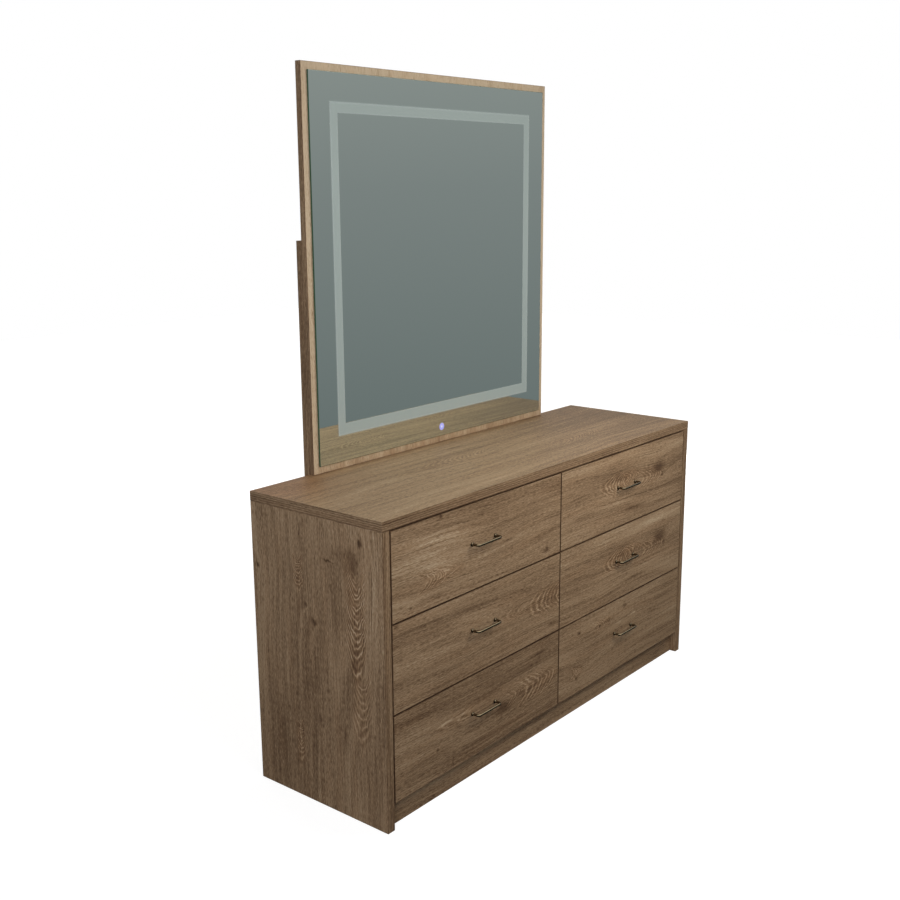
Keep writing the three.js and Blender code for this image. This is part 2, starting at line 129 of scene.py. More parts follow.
class Shader:
    """A node tree and short ways to add linked nodes to it."""

    def __init__(self, tree: bpy.types.NodeTree) -> None:
        """Take the tree to add to."""
        self.tree = tree

    def feed(self, node: Node, inputs: dict) -> None:
        """Link a node's inputs to terms, or set their own values.

        Args:
            node: The node.
            inputs: Terms or values by input name or number.
        """
        for name, value in inputs.items():
            if isinstance(value, Term):
                self.tree.links.new(value.socket, node.inputs[name])
            else:
                node.inputs[name].default_value = value

    def node(self, kind: str, inputs: Optional[dict] = None, **settings: object) -> Node:
        """Add a node.

        Args:
            kind: The node's type.
            inputs: Terms or values by input name or number.
            settings: The node's own properties.

        Returns:
            The new node.
        """
        made = self.tree.nodes.new(kind)
        for name, setting in settings.items():
            setattr(made, name, setting)
        self.feed(made, inputs or {})
        return made

    def term(
        self, kind: str, inputs: Optional[dict] = None, out: Union[int, str] = 0, **settings: object
    ) -> Term:
        """Add a node as above, and return the term of one of its outputs."""
        return Term(self, self.node(kind, inputs, **settings).outputs[out])

    def math(self, operation: str, first: Value, second: Value = 0.0) -> Term:
        """Return the result of a Math node on one or two values."""
        return self.term("ShaderNodeMath", {0: first, 1: second}, operation=operation)

    def combine(self, x: Value, y: Value, z: Value = 0.0) -> Term:
        """Return a vector made of three numbers."""
        return self.term("ShaderNodeCombineXYZ", {0: x, 1: y, 2: z})

    def separate(self, vector: Value) -> list[Term]:
        """Return a vector's three numbers."""
        outputs = self.node("ShaderNodeSeparateXYZ", {0: vector}).outputs
        return [Term(self, socket) for socket in outputs]

    def length(self, x: Value, y: Value) -> Term:
        """Return how far a point is from the origin."""
        point = {0: self.combine(x, y)}
        return self.term("ShaderNodeVectorMath", point, "Value", operation="LENGTH")

    def place(self) -> list[Term]:
        """Return the X, Y and Z of the Object coordinates."""
        return self.separate(self.term("ShaderNodeTexCoord", out="Object"))

    def near_end(self, value: Term, low: float, high: float, reach: float) -> Term:
        """Return 1 where a value lies within reach of either end of a span."""
        return self.math("GREATER_THAN", abs(value - (low + high) / 2), (high - low) / 2 - reach)

    def ease(
        self, value: Value, low: float, high: float, start: float = 0.0, end: float = 1.0
    ) -> Term:
        """Return a value that eases from start at low to end at high."""
        inputs = {"Value": value, "From Min": low, "From Max": high, "To Min": start, "To Max": end}
        return self.term("ShaderNodeMapRange", inputs, interpolation_type="SMOOTHSTEP")

    def fade(self, value: Value, low: float, high: float) -> Term:
        """Return a value that eases from 1 at low to 0 at high."""
        return self.ease(value, low, high, 1.0, 0.0)

    def noise(
        self, vector: Value, detail: float = 1.0, rough: float = 0.5, size: str = "2D"
    ) -> Term:
        """Return a noise from 0 to 1 with one feature to the unit."""
        inputs = {"Vector": vector, "Scale": 1.0, "Detail": detail, "Roughness": rough}
        return self.term("ShaderNodeTexNoise", inputs, noise_dimensions=size)

    def mix(self, share: Value, first: Value, second: Value) -> Term:
        """Return first at share 0 and second at share 1, both numbers."""
        return self.term("ShaderNodeMix", {0: share, 2: first, 3: second}, data_type="FLOAT")

    def blend(self, share: Value, first: Value, second: Value, way: str = "MIX") -> Term:
        """Return first at share 0 and second at share 1, both colours."""
        inputs = {0: share, 6: first, 7: second}
        return self.term("ShaderNodeMix", inputs, 2, data_type="RGBA", blend_type=way)

    def bump(self, height: Value, strength: float, distance: float = 0.3 * MM) -> Term:
        """Return the normal of a surface with a relief."""
        inputs = {"Strength": strength, "Distance": distance, "Height": height}
        return self.term("ShaderNodeBump", inputs)

    def seen(self) -> Term:
        """Return 1 for what is seen straight or through clear things."""
        rays = self.node("ShaderNodeLightPath").outputs
        eye, clear = (Term(self, rays[f"Is {name} Ray"]) for name in ("Camera", "Transmission"))
        return self.math("MAXIMUM", eye, clear)

    def ramp(self, value: Value, stops: dict[float, Colour]) -> Term:
        """Add a ramp of colours.

        Args:
            value: The place on the ramp.
            stops: Linear colours by their place from 0 to 1, in order.

        Returns:
            The colour at that place.
        """
        node = self.node("ShaderNodeValToRGB", {0: value})
        points = node.color_ramp.elements
        while len(points) < len(stops):
            points.new(1.0)
        for point, (position, colour) in zip(points, stops.items()):
            point.position = position
            point.color = colour
        return Term(self, node.outputs[0])


def new_material(name: str) -> tuple[Material, Shader, Node]:
    """Make a material.

    Args:
        name: The material's name.

    Returns:
        The material, its tree's shader and its Principled node.
    """
    material = bpy.data.materials.new(name)
    material.use_nodes = True
    tree = material.node_tree
    return material, Shader(tree), tree.nodes["Principled BSDF"]


def wear(piece: Object, material: Material) -> None:
    """Give a piece one material in place of those that it has."""
    piece.data.materials.clear()
    piece.data.materials.append(material)


def put(name: str, data: bpy.types.ID) -> Object:
    """Make an object of some data, put it into the scene and return it."""
    made = bpy.data.objects.new(name, data)
    bpy.context.scene.collection.objects.link(made)
    return made


# Forms


class Facing(Enum):
    """The way that a form's own Z points once it is placed."""

    LEFT = Matrix.Rotation(-math.pi / 2, 4, "Y")
    RIGHT = Matrix.Rotation(math.pi / 2, 4, "Y")
    FRONT = Matrix.Rotation(math.pi / 2, 4, "X")
    BACK = Matrix.Rotation(-math.pi / 2, 4, "X")
    DOWN = Matrix.Rotation(math.pi, 4, "X")


def at(place: Place, facing: Facing) -> Matrix:
    """Return the matrix that turns a form and puts it at a place."""
    return Matrix.Translation(place) @ facing.value


class Form:
    """A mesh in the making."""

    def __init__(self) -> None:
        """Start with an empty mesh."""
        self.mesh = bmesh.new()

    def whole(self) -> list:
        """Return all vertices, edges and faces."""
        return [*self.mesh.verts, *self.mesh.edges, *self.mesh.faces]

    def verts_of(self, geometry: list) -> list[bmesh.types.BMVert]:
        """Return the vertices in a list of geometry."""
        return [part for part in geometry if isinstance(part, bmesh.types.BMVert)]

    def edges_of(self, geometry: list) -> Edges:
        """Return the edges in a list of geometry."""
        return [part for part in geometry if isinstance(part, bmesh.types.BMEdge)]

    def chain(self, points: Iterable[Place]) -> Edges:
        """Lay a chain of edges through some points and return it."""
        verts = [self.mesh.verts.new(point) for point in points]
        return [self.mesh.edges.new(pair) for pair in zip(verts, verts[1:])]

    def spin(self, edges: Edges, centre: Place, angle: float, steps: int) -> Edges:
        """Sweep some edges round an upright axis.

        Args:
            edges: The edges.
            centre: A point on the axis.
            angle: How far they go round. A full turn is closed.
            steps: The number of steps.

        Returns:
            The edges of the new end.
        """
        verts = dict.fromkeys(vert for edge in edges for vert in edge.verts)
        made = bmesh.ops.spin(
            self.mesh,
            geom=[*verts, *edges],
            axis=(0.0, 0.0, 1.0),
            cent=centre,
            dvec=(0.0, 0.0, 0.0),
            angle=angle,
            steps=steps,
            use_merge=angle == math.tau,
        )
        return self.edges_of(made["geom_last"])

    def turn(self, profile: Iterable[Pair], steps: int) -> None:
        """Turn a profile, the radius and height of each point, once round Z."""
        edges = self.chain((radius, 0.0, height) for radius, height in profile)
        self.spin(edges, (0.0, 0.0, 0.0), math.tau, steps)

    def draw(self, ring: Edges, move: Place, widen: float = 1.0) -> Edges:
        """Draw a ring of edges out into a tube.

        Args:
            ring: The edges.
            move: How far they go.
            widen: What their width is multiplied by on the way.

        Returns:
            The edges of the tube's new end.
        """
        made = bmesh.ops.extrude_edge_only(self.mesh, edges=ring)["geom"]
        verts = self.verts_of(made)
        bmesh.ops.translate(self.mesh, verts=verts, vec=move)
        middle = sum((vert.co for vert in verts), Vector()) / len(verts)
        space = Matrix.Translation(-middle)
        bmesh.ops.scale(self.mesh, verts=verts, vec=(widen, widen, widen), space=space)
        return self.edges_of(made)

    def spread(self, places: Iterable[Matrix]) -> None:
        """Put copies of the form at some places, and take the first one away.

        Args:
            places: Where the copies go.
        """
        first, whole = list(self.mesh.verts), self.whole()
        for place in places:
            made = bmesh.ops.duplicate(self.mesh, geom=whole)["geom"]
            bmesh.ops.transform(self.mesh, matrix=place, verts=self.verts_of(made))
        bmesh.ops.delete(self.mesh, geom=first, context="VERTS")

    def make(self, name: str, material: Material) -> Object:
        """Make an object of the form.

        Args:
            name: The object's name.
            material: Its material.

        Returns:
            The object.
        """
        data = bpy.data.meshes.new(name)
        self.mesh.to_mesh(data)
        self.mesh.free()
        piece = put(name, data)
        wear(piece, material)
        return piece

    def finish(
        self, name: str, body: str, slot: str, material: Material, nodes: tuple[str, ...] = ()
    ) -> Object:
        """Make the form a piece of the dresser.

        Args:
            name: The piece's name.
            body: The CAD body that it rides on.
            slot: The record's slot that its finish belongs to. It is not used.
            material: Its material.
            nodes: The CAD nodes that it stands for.

        Returns:
            The piece.
        """
        bmesh.ops.remove_doubles(self.mesh, verts=self.mesh.verts, dist=1e-6)
        bmesh.ops.recalc_face_normals(self.mesh, faces=self.mesh.faces)
        piece = self.make(name, material)
        piece.data.shade_smooth()
        piece.data.set_sharp_from_angle(angle=SHARP_ANGLE)
        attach(piece, body)
        if nodes:
            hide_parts(*nodes)
        log.info("%s", name)
        return piece


# Oak


@dataclass(frozen=True)
class Figure:
    """Something that a node group traces in the oak: its middle along and across the grain."""

    along: float
    across: float

    LENGTHS: ClassVar[tuple[str, ...]]
    NUMBERS: ClassVar[tuple[str, ...]]
    RESULTS: ClassVar[tuple[str, str]]

    @staticmethod
    def trace(shader: Shader, given: dict[str, Term], along: Term, across: Term) -> dict[str, Term]:
        """Return the group's two results, from its inputs and the way from the middle."""
        raise NotImplementedError

    @classmethod
    def group(cls) -> bpy.types.NodeTree:
        """Make the node group, or find it if it is there.

        Returns:
            The node group.
        """
        name = f"oak_{cls.__name__.lower()}"
        known = bpy.data.node_groups.get(name)
        if known:
            return known
        group = bpy.data.node_groups.new(name, "ShaderNodeTree")
        for way, kind, names in (
            ("INPUT", "Vector", ("place", "middle")),
            ("INPUT", "Float", (*cls.LENGTHS, *cls.NUMBERS)),
            ("OUTPUT", "Float", cls.RESULTS),
        ):
            for socket in names:
                group.interface.new_socket(socket, in_out=way, socket_type=f"NodeSocket{kind}")
        shader = Shader(group)
        outputs = shader.node("NodeGroupInput").outputs
        given = {socket.name: Term(shader, socket) for socket in outputs}
        ends = {0: given["place"], 1: given["middle"]}
        away = shader.term("ShaderNodeVectorMath", ends, operation="SUBTRACT")
        along, across, _ = shader.separate(away)
        shader.node("NodeGroupOutput", cls.trace(shader, given, along, across))
        return group

    @classmethod
    def add(
        cls, shader: Shader, place: Term, figures: Iterable["Figure"]
    ) -> tuple[Value, Value]:
        """Add some figures of this kind to a board.

        Args:
            shader: The board's shader.
            place: The point on the board, along and across its grain.
            figures: The figures.

        Returns:
            The sums of the group's two results.
        """
        nodes = []
        for figure in figures:
            inputs = {"place": place, "middle": (figure.along * MM, figure.across * MM, 0.0)}
            inputs.update({name: getattr(figure, name) * MM for name in cls.LENGTHS})
            inputs.update({name: getattr(figure, name) for name in cls.NUMBERS})
            nodes.append(shader.node("ShaderNodeGroup", inputs, node_tree=cls.group()))
        first, second = (
            sum((Term(shader, node.outputs[name]) for node in nodes), 0.0) for name in cls.RESULTS
        )
        return first, second


@dataclass(frozen=True)
class Mark(Figure):
    """A knot, figure, stain, limed patch or patch of painted shade: its reach ahead, back and to
    each side.

    The growth lines climb by rings towards its middle. Its shade darkens it, or limes it below 0.
    """

    ahead: float
    back: float
    half: float
    rings: float = 0.0
    shade: float = 0.0
    sharp: float = 1.0

    LENGTHS = ("ahead", "back", "half")
    NUMBERS = ("rings", "shade", "sharp")
    RESULTS = ("rings", "shade")

    @staticmethod
    def trace(shader: Shader, given: dict[str, Term], along: Term, across: Term) -> dict[str, Term]:
        """Let the rings and the shade fall off from the middle.

        Args:
            shader: The group's shader.
            given: The group's inputs.
            along: The way along the grain from the middle.
            across: The way across it.

        Returns:
            The growth lines that the mark adds, and its shade.
        """
        ahead = shader.math("MAXIMUM", along) / given["ahead"]
        back = shader.math("MINIMUM", along) / given["back"]
        radius = shader.length(ahead + back, across / given["half"])
        fall = shader.math("EXPONENT", radius * -1.0)
        core = shader.math("EXPONENT", radius**2.0 * given["sharp"] * -1.0)
        return {"rings": fall * given["rings"], "shade": core * given["shade"]}


def knot(along: float, across: float, radius: float, shade: float) -> Mark:
    """Return a small dark knot that the growth lines flow round."""
    reach = 1.9 * radius
    return Mark(along, across, reach, reach, 1.5 * radius, 4.0, shade, 4.5)


def figure(
    along: float, across: float, ahead: float, back: float, half: float, rings: float
) -> Mark:
    """Return a long flat-sawn figure: nested growth lines round one middle."""
    return Mark(along, across, ahead, back, half, rings)


def stain_and_shade(along: float, across: float, reach: float, half: float, shade: float) -> Mark:
    """Return a soft dark patch, or a limed one if shade is negative: a stain in the decor, or
    painted shade where a board is lit unevenly.
    """
    return Mark(along, across, reach, reach, half, 0.0, shade)


@dataclass(frozen=True)
class Flame(Figure):
    """A stack of light arcs in flat-sawn oak: its reach, half width, the arcs' sag and spacing.

    The arcs' tips point against the grain's axis if sag is positive, and along it if negative.
    """

    reach: float
    half: float
    sag: float
    spacing: float
    strength: float = 1.0

    LENGTHS = ("reach", "half", "sag", "spacing")
    NUMBERS = ("strength",)
    RESULTS = ("arcs", "field")

    @staticmethod
    def trace(shader: Shader, given: dict[str, Term], along: Term, across: Term) -> dict[str, Term]:
        """Draw the arcs, uneven and broken, and closer together at the far end.

        Args:
            shader: The group's shader.
            given: The group's inputs.
            along: The way along the grain from the middle.
            across: The way across it.

        Returns:
            The light arcs, and the field that they cover.
        """
        side = across / given["half"]
        straight = along - abs(side) ** 1.8 * given["sag"]
        reached = straight / given["reach"]
        even = straight * (reached * 0.2 + 1.0) / given["spacing"]
        uneven = shader.combine(along * 16.0, across * 38.0, given["reach"])
        turns = shader.noise(uneven, 2.0, size="3D") * 1.3 + even
        wave = shader.math("COSINE", turns * math.tau) * 0.5
        gaps = shader.noise(shader.combine(turns * 0.9, side * 1.1))
        arcs = (wave + 0.5) ** 5.0 * shader.ease(gaps, 0.3, 0.62) - (0.5 - wave) ** 2.0 * 0.3
        inside = shader.fade(abs(side), 0.6, 1.35)
        within = shader.fade(abs(reached), 0.65, 1.1)
        field = inside * within * given["strength"]
        return {"arcs": arcs * field, "field": field}


class Streak(Enum):
    """A noise drawn out along the lines of the decor.

    Its numbers are its features to the metre along the lines and to each line across them, its
    detail and its place in the noise.
    """

    GROWTH = (2.2, 0.5, 2.0, 3.7)
    THREADS = (4.5, 3.0, 3.0, 17.9)
    PORES = (22.0, 5.0, 1.0, 11.3)
    FIBRE = (80.0, 5.0, 2.0, 23.9)
    PATCH = (1.2, 0.1, 1.0, 41.1)
    WARM = (3.0, 0.25, 1.0, 71.3)

    def add(self, shader: Shader, run: Term, lines: Term, cut: float) -> Term:
        """Return the noise at a place along the lines and at a line, with its middle at 0."""
        stretch, density, detail, start = self.value
        place = shader.combine(run * stretch + (cut + start), lines * density + cut)
        return shader.noise(place, detail, 0.6) - 0.5


class Grain(Enum):
    """How a board lies: the axis of its grain, the one across it and the one through it."""

    FRONT = (0, 2, 1)
    SHELF = (0, 1, 2)
    SIDE = (2, 1, 0)
    UPRIGHT = (2, 0, 1)


@dataclass(frozen=True)
class Board:
    """A board of oak: its CAD node, how it lies and where in the decor it was cut.

    Then come its marks, its flames and its patches of painted warm reflection, and how pale its
    faces and edges are; the dark edges of the drawer fronts are painted shade.
    """

    node: str
    grain: Grain
    cut: float
    marks: tuple[Mark, ...] = ()
    flames: tuple[Flame, ...] = ()
    painted_warm_reflections: tuple[Mark, ...] = ()
    light: float = 0.0
    edge: float = -0.1


# From the brown of a knot to limed grain
OAK_TONES = {
    0.0: paint(62, 43, 29),
    0.28: paint(101, 78, 56),
    0.5: paint(139, 113, 85),
    0.68: paint(155, 129, 99),
    1.0: paint(190, 169, 140),
}


@dataclass(frozen=True)
class Oak:
    """Oak-look melamine: growth lines, pores, knots, limed lines, and bands on its edges.

    The numbers from growth to ridges say how much each thing lightens the wood.
    """

    ring: float = 8.5 * MM
    edge_line: float = 5.5 * MM
    band: float = 1.1 * MM
    drift: float = 35 * MM
    ragged_across: float = 4 * MM
    ragged_along: float = 14 * MM
    growth: float = 0.42
    threads: float = 0.62
    fibre: float = 0.8
    patch: float = 0.3
    pores: float = -0.16
    arcs: float = 0.5
    field: float = -0.04
    shade: float = -0.45
    ridges: float = 0.11
    warm: Colour = (1.0, 0.85, 0.74, 1.0)
    warm_streaks: float = 0.15
    warm_field: float = 0.3

    def wander(self, shader: Shader, along: Term, across: Term, cut: float) -> tuple[Term, Term]:
        """Let the lines of the decor drift slowly and be a little ragged.

        Args:
            shader: The board's shader.
            along: The place along the grain.
            across: The place across it.
            cut: Where in the decor the board was cut.

        Returns:
            The place along and across the grain in the decor.
        """
        drift = shader.noise(shader.combine(along * 2.0 + cut, across * 6.0 - cut)) - 0.5
        ragged = shader.noise(shader.combine(along * 45.0, across * 90.0)) - 0.5
        across = across + drift * self.drift + ragged * self.ragged_across
        return along + ragged * self.ragged_along, across

    def material(self, board: Board) -> Material:
        """Make the material of one board.

        Args:
            board: The board.

        Returns:
            Its material.
        """
        material, shader, skin = new_material(f"oak_{board.node}")
        low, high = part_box(board.node)
        axes = shader.place()
        length, width, depth = board.grain.value
        along, across, through = axes[length], axes[width], axes[depth]
        decor_along, decor_across = self.wander(shader, along, across, board.cut)
        decor = shader.combine(decor_along, decor_across)
        rings, shade = Mark.add(shader, decor, board.marks)
        arcs, field = Flame.add(shader, decor, board.flames)
        _, painted_warm_reflection = Mark.add(shader, decor, board.painted_warm_reflections)

        # The bands on the four edges carry straight lines of their own.
        end = shader.near_end(along, low[length], high[length], self.band)
        long_edge = shader.near_end(across, low[width], high[width], self.band)
        edge = shader.math("MAXIMUM", end, long_edge)
        face = 1.0 - edge
        run = shader.mix(end, along, across)
        face_lines = decor_across / self.ring
        edge_lines = through / self.edge_line
        lines = shader.mix(edge, face_lines + through / (3 * self.ring) + rings, edge_lines)
        plain = shader.mix(edge, face_lines, edge_lines)
        ridges = shader.math("COSINE", edge_lines * math.tau)

        growth = Streak.GROWTH.add(shader, run, lines, board.cut)
        threads, pores, fibre, patch, warm = (
            streak.add(shader, run, plain, board.cut) for streak in list(Streak)[1:]
        )
        pores = shader.ease(pores, 0.06, 0.22)
        field = field * face
        tone = (
            growth * self.growth
            + threads * self.threads
            + fibre * self.fibre
            + patch * self.patch
            + pores * self.pores
            + arcs * face * self.arcs
            + field * self.field
            + shade * face * (threads * 1.6 + 1.0) * self.shade
            # On the drawer fronts the edge tone is painted shade, the dark of the gaps between
            # them.
            + edge * board.edge
            + edge * ridges * self.ridges
            + (0.5 + board.light)
        )
        warmth = shader.ease(warm, -0.05, 0.25) * self.warm_streaks
        # The tint of a painted warm reflection, where a board has one, warms the wood.
        warmth = warmth + field * self.warm_field + painted_warm_reflection * face
        coat = {
            "Base Color": shader.blend(warmth, shader.ramp(tone, OAK_TONES), self.warm, "MULTIPLY"),
            "Roughness": shader.ease(tone, 0.2, 0.9, 0.52, 0.42),
            "Specular IOR Level": 0.3,
            "Normal": shader.bump(fibre - pores * 0.8, 0.25, 0.4 * MM),
        }
        shader.feed(skin, coat)
        return material


def front(
    row: str,
    column: str,
    cut: float,
    marks: tuple[Mark, ...],
    flames: tuple[Flame, ...],
    light: float = 0.0,
) -> Board:
    """Return the board of a drawer front, whose edges are dark: painted shade, the dark of the gaps
    between the fronts.
    """
    node = f"drawer_{row}_{column}_front"
    return Board(node, Grain.FRONT, cut, marks, flames, light=light, edge=-0.5)


def moved(figures: tuple, along: float, across: float) -> tuple:
    """Return figures moved along and across the grain."""
    return tuple(replace(f, along=f.along + along, across=f.across + across) for f in figures)


TOP_RIGHT_FLAMES = (
    Flame(282, 660, 84, 32, 48, 17, 0.9), Flame(385, 668, 46, 22, -36, 15, 0.7),
    Flame(505, 652, 74, 28, -52, 18, 0.6),
)
TOP_RIGHT_MARKS = (
    figure(425, 665, 150, 150, 24, 13), stain_and_shade(540, 675, 32, 17, 0.55), knot(568, 648, 8, 0.7),
    stain_and_shade(395, 575, 60, 5, 0.6), stain_and_shade(400, 609, 140, 1.8, 0.5), stain_and_shade(350, 737, 420, 16, -0.3),
)

# The middle right front was cut from the same decor as the top right one.
ROW_SHIFT = (25, -234)

BOARDS = (
    Board(
        "side_panel_left", Grain.SIDE, 3.1,
        marks=(
            figure(662, -121, 45, 190, 36, 22), stain_and_shade(664, -121, 34, 26, 0.6),
            knot(719, -148, 9, 0.9), stain_and_shade(719, -148, 26, 9, 0.5),
            figure(300, -140, 60, 200, 30, 5), knot(596, 217, 7, 0.9), stain_and_shade(656, -42, 3, 16, 0.9),
            knot(486, 10, 8, 0.8), knot(526, 35, 5, 0.5), figure(603, 50, 30, 70, 18, 7),
            stain_and_shade(708, 51, 14, 2, 0.6), knot(237, 5, 6, 0.7), knot(235, 110, 5, 0.6),
            stain_and_shade(155, 71, 45, 3, -0.5), stain_and_shade(213, -82, 24, 4, 0.5),
            stain_and_shade(595, -187, 65, 1.8, 0.8), stain_and_shade(600, -198, 120, 2.5, -0.5),
            # A broad paler patch high up towards the front, and a darker one low down towards the
            # back.
            stain_and_shade(540, -195, 220, 40, -0.3), stain_and_shade(120, 140, 160, 110, 0.25),
        ),
        flames=(
            Flame(500, -128, 142, 38, 62, 17), Flame(290, -146, 100, 34, 48, 22, 0.6),
            Flame(600, 58, 44, 18, 22, 9, 0.8), Flame(150, 72, 60, 12, 14, 11, 0.7),
        ),
    ),
    Board(
        "side_panel_right", Grain.SIDE, 17.3,
        marks=(
            figure(420, 60, 120, 260, 30, 18), knot(640, -90, 8, 0.8), knot(180, -30, 7, 0.7),
            knot(300, 150, 6, 0.6),
        ),
        flames=(Flame(400, 62, 190, 36, 56, 18), Flame(150, -118, 90, 28, -36, 16, 0.7)),
    ),
    Board(
        "top_panel", Grain.SHELF, 29.7,
        marks=(
            knot(234, 21, 7, 0.8), knot(17, -94, 7, 0.6), knot(-484, 66, 5, 0.5),
            stain_and_shade(-480, -142, 3, 12, 0.45), stain_and_shade(-510, -145, 2, 8, 0.35),
            stain_and_shade(-38, 137, 30, 4, 0.5), stain_and_shade(-685, -9, 28, 3, 0.7), stain_and_shade(400, 15, 110, 3, 0.35),
            knot(640, 0, 5, 0.4), knot(265, -134, 5, 0.4), figure(-120, 20, 260, 260, 40, 7),
            # The patches on these two lines are painted light: painted shade darkens the top
            # towards its right end, and with the tint below they make a painted warm reflection of
            # the room at its back left corner, beside the mirror board.
            stain_and_shade(690, 0, 170, 190, 0.3), stain_and_shade(560, 0, 620, 900, 0.36),
            stain_and_shade(-670, 200, 140, 90, 0.4),
        ),
        flames=(Flame(-160, 24, 150, 34, 60, 20, 0.5), Flame(330, -70, 130, 30, -54, 18, 0.4)),
        # A painted warm reflection of the room at the back left corner of the top.
        painted_warm_reflections=(stain_and_shade(-690, 210, 170, 130, 1.3),),
        light=0.04,
        edge=-0.12,
    ),
    Board("bottom_panel", Grain.SHELF, 47.9),
    Board("centre_divider", Grain.SIDE, 53.3),
    Board("plinth_front", Grain.FRONT, 61.1),
    Board(
        "mirror_board", Grain.UPRIGHT, 71.9,
        marks=(
            knot(1210, -511, 5, 0.5), knot(1500, 512, 5, 0.5), figure(1300, 100, 300, 300, 60, 16),
            # Painted shade: the board darkens at its foot, where it meets the top.
            stain_and_shade(775, 0, 50, 700, 0.8),
        ),
        flames=(Flame(1350, 120, 330, 60, 80, 24), Flame(1150, -210, 200, 45, -60, 20, 0.7)),
        # Painted light: the mirror board's face is made much paler than the other boards, to look
        # brightly lit; its narrow faces are much darker.
        light=0.5,
        edge=-0.6,
    ),
    Board(
        "mirror_post_left", Grain.UPRIGHT, 83.7,
        marks=(knot(1100, -470, 6, 0.7), knot(400, -490, 6, 0.7)),
    ),
    Board(
        "mirror_post_right", Grain.UPRIGHT, 97.3,
        marks=(figure(700, 470, 200, 300, 20, 10), knot(1150, 450, 6, 0.7)),
    ),
    front(
        "top", "left", 103.9,
        marks=(
            figure(-539, 601, 110, 55, 20, 9), knot(-66, 554, 8, 0.9), knot(-631, 547, 7, 0.7),
            knot(-520, 753, 6, 0.9), stain_and_shade(-247, 629, 27, 3, 0.8), stain_and_shade(-570, 683, 150, 1.6, 0.5),
            # A broad paler patch towards the left end.
            stain_and_shade(-560, 670, 160, 60, -0.35),
        ),
        flames=(Flame(-534, 598, 46, 26, -34, 12, 0.7), Flame(-468, 606, 44, 17, -52, 36, 0.6)),
    ),
    front("top", "right", 113.3, TOP_RIGHT_MARKS, TOP_RIGHT_FLAMES),
    front(
        "middle", "left", 127.1,
        marks=(
            figure(5, 417, 60, 190, 28, 15), figure(-190, 415, 100, 170, 26, 5),
            stain_and_shade(-33, 326, 22, 5, 0.7), knot(-685, 515, 7, 0.6), knot(-512, 350, 9, 0.3),
        ),
        flames=(Flame(-76, 412, 88, 36, 32, 21, 0.75), Flame(-230, 424, 56, 20, 50, 26, 0.35)),
    ),
    front(
        "middle", "right", 113.35,
        marks=moved(TOP_RIGHT_MARKS, *ROW_SHIFT),
        flames=moved(TOP_RIGHT_FLAMES, *ROW_SHIFT),
        light=0.02,
    ),
    front(
        "bottom", "left", 139.3,
        marks=(
            figure(-257, 168, 130, 150, 26, 17), stain_and_shade(-262, 158, 28, 14, 0.6),
            stain_and_shade(-470, 209, 75, 3, -0.6), knot(-539, 145, 6, 0.7), stain_and_shade(-475, 92, 2, 18, 0.6),
            stain_and_shade(-96, 265, 32, 4, 0.8), stain_and_shade(-150, 230, 150, 1.8, 0.5),
        ),
        flames=(
            Flame(-88, 172, 88, 36, -46, 21, 0.8), Flame(-478, 204, 80, 15, 66, 60, 0.6),
            Flame(-196, 172, 40, 24, -40, 14, 0.6),
        ),
        light=-0.04,
    ),
    front(
        "bottom", "right", 149.9,
        marks=(
            knot(106, 258, 6, 0.8), knot(219, 249, 9, 0.6), stain_and_shade(265, 252, 35, 4, 0.5),
            knot(359, 268, 10, 0.7), stain_and_shade(330, 224, 18, 5, -0.5), stain_and_shade(410, 227, 14, 4, -0.5),
            stain_and_shade(537, 199, 32, 4, 0.6), figure(100, 135, 80, 60, 24, 7), knot(97, 121, 7, 0.8),
        ),
        flames=(Flame(245, 250, 46, 17, -28, 11, 0.7), Flame(104, 140, 34, 18, -28, 11, 0.7)),
        light=0.05,
    ),
)


# Other finishes


@dataclass(frozen=True)
class Plain:
    """A finish with a fine mottle: hardboard, coated steel, gunmetal, zinc or moulded plastic."""

    name: str
    colour: Colour
    dark: Colour
    roughness: float
    metallic: float = 0.0
    grain: Place = (60.0, 60.0, 60.0)

    def material(self) -> Material:
        """Make the material, or find it if it is there.

        Returns:
            The material.
        """
        known = bpy.data.materials.get(self.name)
        if known:
            return known
        material, shader, skin = new_material(self.name)
        spot = shader.combine(*(axis * scale for axis, scale in zip(shader.place(), self.grain)))
        mottle = shader.noise(spot, 3.0, 0.6, "3D")
        dull, bright = self.roughness * 1.12, self.roughness * 0.9
        coat = {
            "Base Color": shader.ramp(mottle, {0.3: self.dark, 0.6: self.colour}),
            "Metallic": self.metallic,
            "Roughness": shader.ease(mottle, 0.3, 0.7, dull, bright),
            "Normal": shader.bump(mottle, 0.1),
        }
        shader.feed(skin, coat)
        return material


HARDBOARD = Plain(
    "hardboard", paint(172, 143, 108), paint(138, 110, 79), 0.75, grain=(55.0, 55.0, 55.0)
)
COATED_STEEL = Plain("coated_steel", paint(206, 204, 198), paint(188, 186, 181), 0.42)
GUNMETAL = Plain(
    "gunmetal", paint(108, 98, 83), paint(96, 87, 73), 0.15, 1.0, grain=(40.0, 400.0, 400.0)
)
ZINC = Plain(
    "zinc", paint(188, 190, 192), paint(160, 162, 165), 0.35, 0.9, grain=(300.0, 300.0, 300.0)
)
NYLON = Plain("nylon", paint(228, 226, 216), paint(216, 213, 202), 0.38)
BROWN_CAP = Plain("brown_cap", paint(126, 103, 79), paint(116, 94, 71), 0.5)
WHITE_PLASTIC = Plain("white_plastic", paint(226, 226, 221), paint(214, 214, 209), 0.45)


